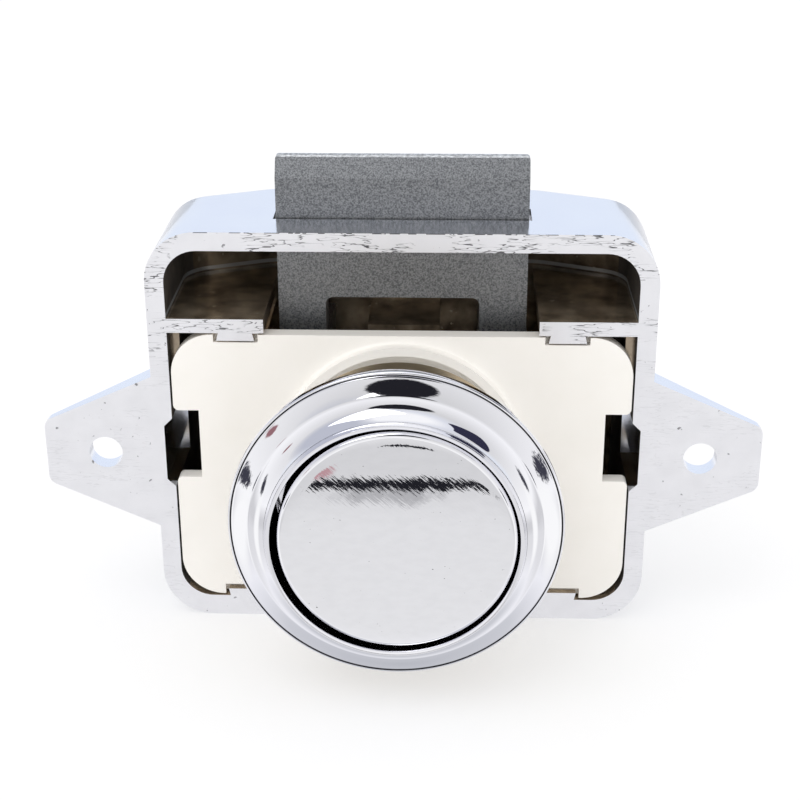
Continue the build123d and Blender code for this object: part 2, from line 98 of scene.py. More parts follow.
class NodeTree:
    """Short helper that adds linked nodes to a material's or world's tree."""

    def __init__(self, tree: bpy.types.NodeTree) -> None:
        """Keep the tree and empty it.

        Args:
            tree: The tree to fill.
        """
        self.tree = tree
        tree.nodes.clear()

    def add(self, kind: str, links: dict | None = None, **values) -> bpy.types.Node:
        """Add one node.

        Args:
            kind: Blender's node type.
            links: Input name or index to the socket that feeds it.
            values: Properties of the node, or plain values of inputs by name.

        Returns:
            The new node.
        """
        node = self.tree.nodes.new(kind)
        for name, value in values.items():
            if hasattr(node, name):
                setattr(node, name, value)
            else:
                node.inputs[name.replace("_", " ")].default_value = value
        for key, socket in (links or {}).items():
            self.tree.links.new(socket, node.inputs[key])
        return node

    def calc(self, operation: str, first: Socket, second: Socket | float | None = None) -> Socket:
        """Calculate with one or two values.

        Args:
            operation: Blender's name of the operation.
            first: First value.
            second: Second value, where the operation takes one.

        Returns:
            The result's socket.
        """
        node = self.add("ShaderNodeMath", {0: first}, operation=operation)
        if isinstance(second, Socket):
            self.tree.links.new(second, node.inputs[1])
        elif second is not None:
            node.inputs[1].default_value = second
        return node.outputs[0]

    def remap(self, value: Socket, source: Pair, target: Pair = (0, 1)) -> Socket:
        """Map one range to another and stop at its ends.

        Args:
            value: Value to map.
            source: Its two limits.
            target: What they become.

        Returns:
            The mapped value.
        """
        node = self.add("ShaderNodeMapRange", {"Value": value})
        for name, limit in zip(("From Min", "From Max", "To Min", "To Max"), source + target):
            node.inputs[name].default_value = limit
        return node.outputs[0]

    def tint(self, share: Socket, base: Socket, tone: Colour) -> Socket:
        """Mix one plain colour over another.

        Args:
            share: How much of the plain colour shows.
            base: Colour so far.
            tone: The plain colour.

        Returns:
            The mixed colour.
        """
        node = self.add("ShaderNodeMixRGB", {"Fac": share, "Color1": base})
        node.inputs["Color2"].default_value = (*tone, 1.0)
        return node.outputs[0]

    def mix(self, share: Socket, first: Socket, second: Socket) -> Socket:
        """Mix two shaders.

        Args:
            share: How much of the second shader shows.
            first: First shader.
            second: Second shader.

        Returns:
            The mixed shader.
        """
        return self.add("ShaderNodeMixShader", {0: share, 1: first, 2: second}).outputs[0]

    def height(self) -> Socket:
        """Height on the object.

        Returns:
            Object coordinate Z, in metres.
        """
        place = self.add("ShaderNodeTexCoord")
        return self.add("ShaderNodeSeparateXYZ", {"Vector": place.outputs["Object"]}).outputs["Z"]

    def noise(
        self, scale: float, stretch: Triple = (1, 1, 1), detail: float = 4.0, turn: float = 0.0
    ) -> Socket:
        """Noise on Object coordinates.

        Args:
            scale: Spots per metre.
            stretch: Scale along each axis.
            detail: Octaves of the noise.
            turn: Turn of the stretched pattern about Y, in degrees.

        Returns:
            The noise's value socket.
        """
        place = self.add("ShaderNodeTexCoord")
        sizes = tuple(1 / s for s in stretch)
        mapping = self.add(
            "ShaderNodeMapping", {"Vector": place.outputs["Object"]}, vector_type="TEXTURE", Scale=sizes
        )
        mapping.inputs["Rotation"].default_value = (0, math.radians(turn), 0)
        spots = self.add("ShaderNodeTexNoise", {"Vector": mapping.outputs[0]}, Scale=scale, Detail=detail)
        return spots.outputs["Fac"]

    def ramp(self, source: Socket, positions: Sequence[float], colours: Sequence[Colour]) -> Socket:
        """Colour ramp.

        Args:
            source: Value that runs along the ramp.
            positions: Position of each stop, from low to high.
            colours: Colour of each stop.

        Returns:
            The colour socket.
        """
        ramp = self.add("ShaderNodeValToRGB", {"Fac": source})
        elements = ramp.color_ramp.elements
        while len(elements) < len(positions):
            elements.new(1.0)
        for element, position, colour in zip(elements, positions, colours):
            element.position = position
            element.color = (*colour, 1.0)
        return ramp.outputs["Color"]


@dataclass(frozen=True)
class MetalFinish:
    """Metal with grain, flecks and fine wear.

    Scales are spots per metre. Scratches are full above scratch_from and keep the share scratch_below under
    it. Hatch is the strength of fine rubbed lines, turned by hatch_turn degrees. A level line lies at the
    height line_z, line_half to each side, and is broken where noise stays under line_gaps.
    """

    GRAIN_STOPS: ClassVar[Pair] = (0.35, 0.62)
    FINE_SHARE: ClassVar[float] = 3.1
    FINE_DETAIL: ClassVar[float] = 6.0
    COARSE_DETAIL: ClassVar[float] = 2.0
    FLECK_SOFT: ClassVar[float] = 0.04
    STROKE_SHARE: ClassVar[float] = 0.7
    STROKE_STRETCH: ClassVar[Triple] = (1, 1, 8)
    STROKE_EDGES: ClassVar[tuple[float, ...]] = (0.48, 0.493, 0.507, 0.519)
    PATCH_SHARE: ClassVar[float] = 0.3
    PATCH_STRETCH: ClassVar[Triple] = (1, 1, 2)
    PATCH_EDGES: ClassVar[Pair] = (0.48, 0.53)
    SCRATCH_FADE: ClassVar[float] = 4 * MM
    SCRATCH_TONE: ClassVar[Colour] = (0.03, 0.03, 0.035)
    LINE_CORE: ClassVar[float] = 0.6
    LINE_SCALE: ClassVar[float] = 900.0
    HATCH_SCALE: ClassVar[float] = 4200.0
    HATCH_STRETCH: ClassVar[Triple] = (1, 1, 0.14)

    name: str
    light: Colour
    dark: Colour
    fleck: Colour
    fleck_start: float
    rough: Pair
    scale: float
    stretch: Triple = (1, 1, 1)
    bump: float = 0.02
    bump_depth: float = 0.02 * MM
    scratch: float = 0.0
    scratch_from: float = -1.0
    scratch_below: float = 0.1
    metallic: float = 1.0
    hatch: float = 0.0
    hatch_turn: float = -48.0
    line_z: float = 0.0
    line_half: float = 0.0
    line_tone: Colour = (0.03, 0.03, 0.03)
    line_gaps: float = 0.0

    def line(self, tree: NodeTree, colour: Socket) -> Socket:
        """Lay one level line over a colour.

        Args:
            tree: The material's tree.
            colour: Colour so far.

        Returns:
            The colour with the line.
        """
        if not self.line_half:
            return colour
        away = tree.calc("ABSOLUTE", tree.calc("SUBTRACT", tree.height(), self.line_z))
        near = tree.remap(away, (self.line_half, self.line_half * self.LINE_CORE))
        breaks = tree.noise(self.LINE_SCALE, detail=self.COARSE_DETAIL)
        there = tree.calc("GREATER_THAN", breaks, self.line_gaps)
        return tree.tint(tree.calc("MULTIPLY", near, there), colour, self.line_tone)

    def scratches(self, tree: NodeTree, colour: Socket) -> Socket:
        """Lay thin dark scratches, in patches, over a colour.

        Args:
            tree: The material's tree.
            colour: Colour so far.

        Returns:
            The scratched colour.
        """
        if not self.scratch:
            return colour
        strokes = tree.noise(self.scale * self.STROKE_SHARE, self.STROKE_STRETCH, self.COARSE_DETAIL)
        line = tree.ramp(strokes, self.STROKE_EDGES, (BLACK, WHITE, WHITE, BLACK))
        area = tree.noise(self.scale * self.PATCH_SHARE, self.PATCH_STRETCH, self.COARSE_DETAIL)
        patch = tree.ramp(area, self.PATCH_EDGES, (BLACK, WHITE))
        limits = (self.scratch_from, self.scratch_from + self.SCRATCH_FADE)
        worn = tree.remap(tree.height(), limits, (self.scratch * self.scratch_below, self.scratch))
        share = tree.calc("MULTIPLY", tree.calc("MULTIPLY", line, patch), worn)
        return tree.tint(share, colour, self.SCRATCH_TONE)

    def material(self) -> bpy.types.Material:
        """Build the material.

        Returns:
            A procedural material on Object coordinates.
        """
        mat = bpy.data.materials.new(self.name)
        mat.use_nodes = True
        tree = NodeTree(mat.node_tree)
        grain = tree.noise(self.scale, self.stretch)
        fine = tree.noise(self.scale * self.FINE_SHARE, self.stretch, self.FINE_DETAIL)
        tone = tree.ramp(grain, self.GRAIN_STOPS, (self.dark, self.light))
        spot = tree.ramp(fine, (self.fleck_start, self.fleck_start + self.FLECK_SOFT), (BLACK, WHITE))
        rough = tree.remap(grain, (0, 1), self.rough)
        bump = tree.add("ShaderNodeBump", {"Height": fine}, Strength=self.bump, Distance=self.bump_depth)
        if self.hatch:
            rubs = tree.noise(self.HATCH_SCALE, self.HATCH_STRETCH, self.COARSE_DETAIL, self.hatch_turn)
            links = {"Height": rubs, "Normal": bump.outputs[0]}
            bump = tree.add("ShaderNodeBump", links, Strength=self.hatch, Distance=self.bump_depth)
        worn = self.line(tree, self.scratches(tree, tree.tint(spot, tone, self.fleck)))
        links = {"Base Color": worn, "Roughness": rough, "Normal": bump.outputs[0]}
        shader = tree.add("ShaderNodeBsdfPrincipled", links, Metallic=self.metallic)
        tree.add("ShaderNodeOutputMaterial", {"Surface": shader.outputs[0]})
        return mat


@dataclass(frozen=True)
class PlasticFinish:
    """Moulded plastic with faint mottling and a finer skin."""

    name: str
    light: Colour
    dark: Colour
    roughness: float = 0.42
    cloud_scale: float = 260.0
    cloud_stops: Pair = (0.3, 0.65)
    skin_scale: float = 3640.0
    skin_bump: float = 0.08
    skin_depth: float = 0.03 * MM

    def material(self) -> bpy.types.Material:
        """Build the material.

        Returns:
            A procedural material on Object coordinates.
        """
        mat = bpy.data.materials.new(self.name)
        mat.use_nodes = True
        tree = NodeTree(mat.node_tree)
        tone = tree.ramp(tree.noise(self.cloud_scale), self.cloud_stops, (self.dark, self.light))
        skin = {"Height": tree.noise(self.skin_scale)}
        bump = tree.add("ShaderNodeBump", skin, Strength=self.skin_bump, Distance=self.skin_depth)
        links = {"Base Color": tone, "Normal": bump.outputs[0]}
        shader = tree.add("ShaderNodeBsdfPrincipled", links, Roughness=self.roughness)
        tree.add("ShaderNodeOutputMaterial", {"Surface": shader.outputs[0]})
        return mat


RIM_METAL = MetalFinish(
    "milled_rim", light=(0.98, 0.98, 1.0), dark=(0.94, 0.94, 0.96), fleck=(0.3, 0.3, 0.31),
    fleck_start=0.68, rough=(0.34, 0.42), scale=420, bump=0.06, scratch=0.9, scratch_from=10 * MM,
    metallic=0.83, line_z=24.9 * MM, line_half=0.09 * MM, line_gaps=0.51,
)
OUTSIDE_METAL = MetalFinish(
    "plated_sides", light=(0.93, 0.95, 1.0), dark=(0.91, 0.93, 0.99), fleck=(0.5, 0.5, 0.55),
    fleck_start=0.78, rough=(0.12, 0.18), scale=180,
)
# Case inside: brown painted reflection of the cream cover with painted shade; its pale level line is a
# painted highlight on an edge.
INSIDE_SHADE_METAL = MetalFinish(
    "inside_painted_shade_and_reflection", light=(0.62, 0.51, 0.38), dark=(0.22, 0.17, 0.12), fleck=(0.75, 0.68, 0.56),
    fleck_start=0.66, rough=(0.1, 0.2), scale=330, bump=0.12, metallic=0.72, line_z=15.76 * MM,
    line_half=0.26 * MM, line_tone=(0.95, 0.98, 1.0),
)
# Case side walls: near-black painted shade; their grey level line is a painted highlight on an edge.
WALL_SHADE_METAL = MetalFinish(
    "side_walls_painted_shade", light=(0.07, 0.06, 0.05), dark=(0.04, 0.035, 0.03), fleck=(0.2, 0.18, 0.16),
    fleck_start=0.73, rough=(0.85, 0.95), scale=330, metallic=0.0, line_z=15.76 * MM,
    line_half=0.26 * MM, line_tone=(0.22, 0.23, 0.24),
)
BOLT_METAL = MetalFinish(
    "bare_casting", light=(0.37, 0.38, 0.385), dark=(0.15, 0.155, 0.165), fleck=(0.6, 0.6, 0.6),
    fleck_start=0.65, rough=(0.42, 0.6), scale=6200, bump=0.6, bump_depth=0.02 * MM, scratch=0.25,
)
# Bolt's top: rubbed wear with a painted highlight where the top faces the light.
RUBBED_HIGHLIGHT_METAL = MetalFinish(
    "rubbed_edge_painted_highlight", light=(0.72, 0.74, 0.75), dark=(0.36, 0.37, 0.38), fleck=(0.25, 0.25, 0.25),
    fleck_start=0.62, rough=(0.35, 0.5), scale=2600, stretch=(1, 1, 3), bump=0.4,
)
CHROME_METAL = MetalFinish(
    "mirror_chrome", light=(0.95, 0.95, 0.97), dark=(0.93, 0.93, 0.96), fleck=(0.6, 0.6, 0.6),
    fleck_start=0.8, rough=(0.02, 0.05), scale=120,
)
FACE_METAL = MetalFinish(
    "knob_face_chrome", light=(0.98, 0.98, 0.99), dark=(0.95, 0.95, 0.96), fleck=(0.12, 0.12, 0.12),
    fleck_start=0.725, rough=(0.008, 0.018), scale=700, stretch=(1, 1, 2), bump=0.008, hatch=0.055,
)
# Rosette's sleeve: tan painted reflection of the shaded cream collar, laid on the chrome.
SLEEVE_SHADE_METAL = MetalFinish(
    "sleeve_painted_shade", light=(0.60, 0.48, 0.31), dark=(0.52, 0.42, 0.27), fleck=(0.2, 0.16, 0.1),
    fleck_start=0.76, rough=(0.3, 0.4), scale=300,
)
# Dark line in the rosette's rim groove.
GROOVE_DARK_METAL = MetalFinish(
    "dark_groove_line", light=(0.14, 0.14, 0.15), dark=(0.06, 0.06, 0.07), fleck=(0.3, 0.3, 0.3),
    fleck_start=0.76, rough=(0.3, 0.5), scale=700,
)
STEEL_METAL = MetalFinish(
    "turned_steel", light=(0.56, 0.56, 0.57), dark=(0.4, 0.4, 0.42), fleck=(0.2, 0.2, 0.2),
    fleck_start=0.75, rough=(0.25, 0.4), scale=600, stretch=(1, 4, 1),
)
SPRING_METAL = MetalFinish(
    "drawn_wire", light=(0.42, 0.42, 0.43), dark=(0.28, 0.28, 0.3), fleck=(0.15, 0.14, 0.14),
    fleck_start=0.72, rough=(0.25, 0.4), scale=900,
)
BRASS_METAL = MetalFinish(
    "turned_brass", light=(0.72, 0.53, 0.22), dark=(0.55, 0.38, 0.14), fleck=(0.3, 0.2, 0.1),
    fleck_start=0.75, rough=(0.2, 0.35), scale=500,
)
CREAM_PLASTIC = PlasticFinish("cream_moulding", light=(0.98, 0.955, 0.91), dark=(0.96, 0.935, 0.885))


def smooth_by_angle(mesh: bpy.types.Mesh, limit: float) -> None:
    """Shade a mesh smooth and keep its hard edges sharp.

    Args:
        mesh: Mesh with merged vertices.
        limit: Angle between faces, in degrees, from which an edge is sharp.
    """
    work = bmesh.new()
    work.from_mesh(mesh)
    for face in work.faces:
        face.smooth = True
    for edge in work.edges:
        edge.smooth = len(edge.link_faces) == 2 and edge.calc_face_angle(0.0) < math.radians(limit)
    work.to_mesh(mesh)
    work.free()


def merged_copy(node: str, name: str, limit: float = 28.0) -> bpy.types.Object:
    """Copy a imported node, join its loose triangles and shade it.

    Args:
        node: Node to copy.
        name: Name of the new piece.
        limit: Sharp edge angle in degrees.

    Returns:
        The new object, which replaces the node.
    """
    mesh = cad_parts[node].data.copy()
    mesh.name = name
    work = bmesh.new()
    work.from_mesh(mesh)
    bmesh.ops.remove_doubles(work, verts=work.verts, dist=MERGE_DISTANCE)
    work.to_mesh(mesh)
    work.free()
    if "custom_normal" in mesh.attributes:
        mesh.attributes.remove(mesh.attributes["custom_normal"])
    mesh.materials.clear()
    smooth_by_angle(mesh, limit)
    piece = bpy.data.objects.new(name, mesh)
    bpy.context.scene.collection.objects.link(piece)
    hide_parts(node)
    return piece


def turned_piece(name: str, profile: list[Pair], steps: int, limit: float = 30.0) -> bpy.types.Object:
    """Turn a closed profile about the button's axis.

    Args:
        name: Name of the new piece.
        profile: Radius and depth of each point in metres.
        steps: Divisions of the full turn.
        limit: Sharp edge angle in degrees.

    Returns:
        The new object.
    """
    work = bmesh.new()
    rings = []
    for radius, depth in profile:
        count = steps if radius > 0 else 1
        turns = [math.tau * i / steps for i in range(count)]
        rings.append([work.verts.new((radius * math.cos(a), depth, radius * math.sin(a))) for a in turns])
    for ring, following in zip(rings, rings[1:] + rings[:1]):
        for i in range(steps):
            j = (i + 1) % steps
            corners = [ring[i % len(ring)], ring[j % len(ring)], following[j % len(following)]]
            corners.append(following[i % len(following)])
            unique = list(dict.fromkeys(corners))
            if len(unique) > 2:
                work.faces.new(unique)
    bmesh.ops.recalc_face_normals(work, faces=work.faces)
    mesh = bpy.data.meshes.new(name)
    work.to_mesh(mesh)
    work.free()
    smooth_by_angle(mesh, limit)
    piece = bpy.data.objects.new(name, mesh)
    bpy.context.scene.collection.objects.link(piece)
    return piece


def arc(start: Pair, middle: Pair, end: Pair, steps: int) -> list[Pair]:
    """Points on the circle through three points, each a radius and a depth.

    Args:
        start: First point.
        middle: Point on the arc.
        end: Last point.
        steps: Number of steps from start to end.

    Returns:
        Radius and depth of each point, both ends included.
    """
    (ax, ay), (bx, by), (cx, cy) = start, middle, end
    d = 2 * (ax * (by - cy) + bx * (cy - ay) + cx * (ay - by))
    a2, b2, c2 = ax * ax + ay * ay, bx * bx + by * by, cx * cx + cy * cy
    centre_x = (a2 * (by - cy) + b2 * (cy - ay) + c2 * (ay - by)) / d
    centre_y = (a2 * (cx - bx) + b2 * (ax - cx) + c2 * (bx - ax)) / d
    radius = math.hypot(ax - centre_x, ay - centre_y)
    first = math.atan2(ay - centre_y, ax - centre_x)
    sweep = (math.atan2(cy - centre_y, cx - centre_x) - first + math.pi) % math.tau - math.pi
    turns = [first + sweep * i / steps for i in range(steps + 1)]
    return [(centre_x + radius * math.cos(t), centre_y + radius * math.sin(t)) for t in turns]


def dress(piece: bpy.types.Object, body: str, slot: Slot, *finishes: bpy.types.Material) -> bpy.types.Object:
    """Give a piece its materials and body, and keep the material index of each face.

    Args:
        piece: Object to dress.
        body: Body that it rides on.
        slot: Slot of its finish; not used.
        finishes: Materials, in the order of the mesh's material indices.

    Returns:
        The same object.
    """
    kept = [face.material_index for face in piece.data.polygons]
    piece.data.materials.clear()
    for finish in finishes:
        piece.data.materials.append(finish)
    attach(piece, body)
    piece.data.polygons.foreach_set("material_index", kept)
    LOG.info("%s rides on %s with %s", piece.name, body, ", ".join(m.name for m in finishes))
    return piece


@dataclass
class CaseTray:
    """Die-cast case: milled rim, plated outside, inside in brown painted reflection and shade, side walls in
    near-black painted shade.
    """

    inner_half_w: float = 24.6 * MM
    inner_top: float = 22.9 * MM
    inner_floor: float = -17.6 * MM
    inner_back: float = 19.0 * MM
    rear_from: float = 12.0 * MM
    wall_from: float = 20.0 * MM
    tolerance: float = 0.06 * MM
    faces_front: float = 0.9
    faces_rear: float = 0.2
    faces_side: float = 0.8
    sharp_edge: float = 20.0

    def side_of(self, face: bpy.types.MeshPolygon) -> Side:
        """Tell the case's surfaces apart by where they lie and face.

        Args:
            face: One face of the case.

        Returns:
            The surface that it belongs to.
        """
        x, y, z = face.center
        slack = self.tolerance
        if face.normal.y < -self.faces_front and y < slack:
            return Side.RIM
        within_x = abs(x) < self.inner_half_w + slack
        within_z = self.inner_floor - slack < z < self.inner_top + slack
        rear = face.normal.y > self.faces_rear and y > self.rear_from
        if not (within_x and within_z and y < self.inner_back + slack) or rear:
            return Side.OUTSIDE
        upright = abs(face.normal.x) > self.faces_side and abs(x) > self.wall_from
        return Side.WALL if upright else Side.INSIDE

    def build(self) -> bpy.types.Object:
        """Build and dress the case.

        Returns:
            The dressed case.
        """
        piece = merged_copy("case", "case_tray", self.sharp_edge)
        for face in piece.data.polygons:
            face.material_index = self.side_of(face).value
        # The inside and side walls carry painted reflection and shade, with painted highlight lines.
        finishes = [f.material() for f in (RIM_METAL, OUTSIDE_METAL, INSIDE_SHADE_METAL, WALL_SHADE_METAL)]
        return dress(piece, "lock_case", Slot.CASE, *finishes)


@dataclass
class KnobAndRosette:
    """Chromed knob cap and trumpet rosette, both turned about the button's axis."""

    steps: int = 192
    knob_r: float = 11.7 * MM
    knob_wall: float = 0.8 * MM
    knob_face: float = 20.0 * MM
    knob_face_t: float = 1.0 * MM
    knob_crown: float = 0.15 * MM
    knob_edge: float = 0.55 * MM
    knob_rear: float = 9.3 * MM
    knob_play_x: float = 0.2 * MM
    knob_play_z: float = 0.08 * MM
    rosette_r: float = 16.58 * MM
    rim_t: float = 0.8 * MM
    rim_round: float = 0.2 * MM
    seat: float = 16.0 * MM
    height: float = 4.1 * MM
    bore_r: float = 12.12 * MM
    bore_edge: float = 0.14 * MM
    lip_w: float = 0.4 * MM
    band_w: float = 2.1 * MM
    band_h: float = 0.95 * MM
    band_sag: float = 0.06 * MM
    groove_w: float = 0.16 * MM
    groove_d: float = 0.1 * MM
    cove_sag: float = 0.45 * MM
    sleeve_r: float = 12.9 * MM
    sleeve_l: float = 10.8 * MM
    ring_r: float = 10.56 * MM
    ring_l: float = 3.5 * MM
    faces_front: float = 0.97
    crown_steps: int = 12
    edge_steps: int = 10
    cove_steps: int = 24
    band_steps: int = 12
    rim_steps: int = 4

    def cap(self) -> bpy.types.Object:
        """Build the knob's cap.

        Returns:
            The cap, with its face and its skirt in two finishes.
        """
        flat_r = self.knob_r - self.knob_edge
        shoulder = self.knob_edge * DIAGONAL
        steps = self.crown_steps
        crown = [
            (flat_r * i / steps, -self.knob_face - self.knob_crown * (1 - (i / steps) ** 2))
            for i in range(steps + 1)
        ]
        edge = arc(
            (flat_r, -self.knob_face),
            (flat_r + shoulder, -self.knob_face + self.knob_edge - shoulder),
            (self.knob_r, -self.knob_face + self.knob_edge),
            self.edge_steps,
        )
        inner = self.knob_r - self.knob_wall
        back = -self.knob_face + self.knob_face_t
        walls = [(self.knob_r, -self.knob_rear), (inner, -self.knob_rear), (inner, back), (0, back)]
        piece = turned_piece("knob_cap_shell", crown + edge[1:] + walls, self.steps)
        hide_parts("knob_cap")
        for face in piece.data.polygons:
            is_edge = face.normal.y > -self.faces_front or face.center.y > -self.knob_face + shoulder
            face.material_index = int(is_edge)
        for vertex in piece.data.vertices:
            x, y, z = vertex.co
            if math.hypot(x, z) > inner + self.rim_round or y < back - self.rim_round:
                vertex.co += Vector((self.knob_play_x, 0, self.knob_play_z))
        return dress(piece, "knob", Slot.CHROME, FACE_METAL.material(), CHROME_METAL.material())

    def rosette(self) -> bpy.types.Object:
        """Build the rosette with its sleeve and thread ring.

        Returns:
            The dressed rosette.
        """
        rim_front = -self.seat - self.rim_t
        lip_front = -self.seat - self.height
        lip_r = self.bore_r + self.lip_w
        band_r = self.rosette_r - self.band_w
        band_front = rim_front - self.band_h
        middle = ((band_r + lip_r) / 2 - self.cove_sag, (band_front + lip_front) / 2 + self.cove_sag)
        cove = arc((band_r, band_front), middle, (lip_r, lip_front), self.cove_steps)
        rear = -self.seat + self.sleeve_l
        soft = self.rim_round
        cut = soft * (1 - DIAGONAL)
        broken = self.bore_edge * (1 - DIAGONAL)
        walls = [
            (self.bore_r + self.bore_edge, lip_front),
            (self.bore_r + broken, lip_front + broken),
            (self.bore_r, lip_front + self.bore_edge),
            (self.bore_r, rear - self.ring_l),
            (self.ring_r, rear - self.ring_l),
            (self.ring_r, rear),
            (self.sleeve_r, rear),
            (self.sleeve_r, -self.seat),
            (self.rosette_r, -self.seat),
        ]
        rim = arc(
            (self.rosette_r, rim_front + soft),
            (self.rosette_r - cut, rim_front + cut),
            (self.rosette_r - soft, rim_front),
            self.rim_steps,
        )
        groove_r = self.rosette_r - soft
        groove = [(groove_r - self.groove_w / 2, rim_front + self.groove_d)]
        band_start = (groove_r - self.groove_w, rim_front)
        half = Vector((band_r - band_start[0], band_front - band_start[1])) / 2
        outward = Vector((-half.y, half.x)).normalized() * -self.band_sag
        middle = (band_start[0] + half.x + outward.x, band_start[1] + half.y + outward.y)
        band = arc(band_start, middle, (band_r, band_front), self.band_steps)
        piece = turned_piece("rosette_trumpet", cove + walls + rim + groove + band[:-1], self.steps)
        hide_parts("rosette")
        for face in piece.data.polygons:
            x, y, z = face.center
            radius = math.hypot(x, z)
            across = groove_r - self.groove_w < radius < groove_r
            in_groove = across and rim_front < y < rim_front + self.groove_d
            # The sleeve's faces take the tan painted reflection of the shaded collar.
            on_sleeve = y > -self.seat and radius > self.bore_r + self.lip_w
            face.material_index = 1 if in_groove else 2 if on_sleeve else 0
        finishes = [f.material() for f in (CHROME_METAL, GROOVE_DARK_METAL, SLEEVE_SHADE_METAL)]
        return dress(piece, "rosette", Slot.CHROME, *finishes)


@dataclass
class WireCoils:
    """Helical wires made by one Geometry Nodes tree: springs and the neck's thread."""

    resolution: int = 32
    sides: int = 12
    sharp_edge: float = 40.0
    tree: bpy.types.NodeTree | None = field(default=None)

    def node_group(self) -> bpy.types.NodeTree:
        """Build the tree once.

        Returns:
            A tree whose inputs are the coil's radius, height, turns, wire radius and material.
        """
        if self.tree:
            return self.tree
        group = bpy.data.node_groups.new("wire_coil", "GeometryNodeTree")
        face = group.interface
        face.new_socket("Geometry", in_out="OUTPUT", socket_type="NodeSocketGeometry")
        for name in ("Radius", "Height", "Turns", "Wire radius"):
            face.new_socket(name, in_out="INPUT", socket_type="NodeSocketFloat")
        face.new_socket("Finish", in_out="INPUT", socket_type="NodeSocketMaterial")
        link, new = group.links.new, group.nodes.new
        given, out = new("NodeGroupInput"), new("NodeGroupOutput")
        spiral = new("GeometryNodeCurveSpiral")
        spiral.inputs["Resolution"].default_value = self.resolution
        link(given.outputs["Turns"], spiral.inputs["Rotations"])
        link(given.outputs["Radius"], spiral.inputs["Start Radius"])
        link(given.outputs["Radius"], spiral.inputs["End Radius"])
        link(given.outputs["Height"], spiral.inputs["Height"])
        ring = new("GeometryNodeCurvePrimitiveCircle")
        ring.inputs["Resolution"].default_value = self.sides
        link(given.outputs["Wire radius"], ring.inputs["Radius"])
        sweep = new("GeometryNodeCurveToMesh")
        sweep.inputs["Fill Caps"].default_value = True
        link(spiral.outputs["Curve"], sweep.inputs["Curve"])
        link(ring.outputs["Curve"], sweep.inputs["Profile Curve"])
        realize, paint = new("GeometryNodeRealizeInstances"), new("GeometryNodeSetMaterial")
        link(sweep.outputs["Mesh"], realize.inputs["Geometry"])
        link(realize.outputs["Geometry"], paint.inputs["Geometry"])
        link(given.outputs["Finish"], paint.inputs["Material"])
        link(paint.outputs["Geometry"], out.inputs["Geometry"])
        self.tree = group
        return group

    def coil(
        self, name: str, sizes: dict[str, float], finish: bpy.types.Material, place: Matrix
    ) -> bpy.types.Object:
        """Make one helical wire as a plain mesh.

        Args:
            name: Name of the new piece.
            sizes: Value of each named size input.
            finish: Material of the wire.
            place: Where the coil's foot goes; it rises along its local Z.

        Returns:
            The new object, at the origin, with its place in its mesh.
        """
        group = self.node_group()
        carrier = bpy.data.objects.new(name + "_carrier", bpy.data.meshes.new(name + "_carrier"))
        bpy.context.scene.collection.objects.link(carrier)
        modifier = carrier.modifiers.new("coil", "NODES")
        modifier.node_group = group
        for item in group.interface.items_tree:
            if item.in_out == "INPUT":
                modifier[item.identifier] = finish if item.name == "Finish" else float(sizes[item.name])
        bpy.context.view_layer.update()
        evaluated = carrier.evaluated_get(bpy.context.evaluated_depsgraph_get())
        mesh = bpy.data.meshes.new_from_object(evaluated)
        mesh.name = name
        bpy.data.objects.remove(carrier)
        mesh.transform(place)
        work = bmesh.new()
        work.from_mesh(mesh)
        bmesh.ops.recalc_face_normals(work, faces=work.faces)
        work.to_mesh(mesh)
        work.free()
        smooth_by_angle(mesh, self.sharp_edge)
        piece = bpy.data.objects.new(name, mesh)
        bpy.context.scene.collection.objects.link(piece)
        return piece


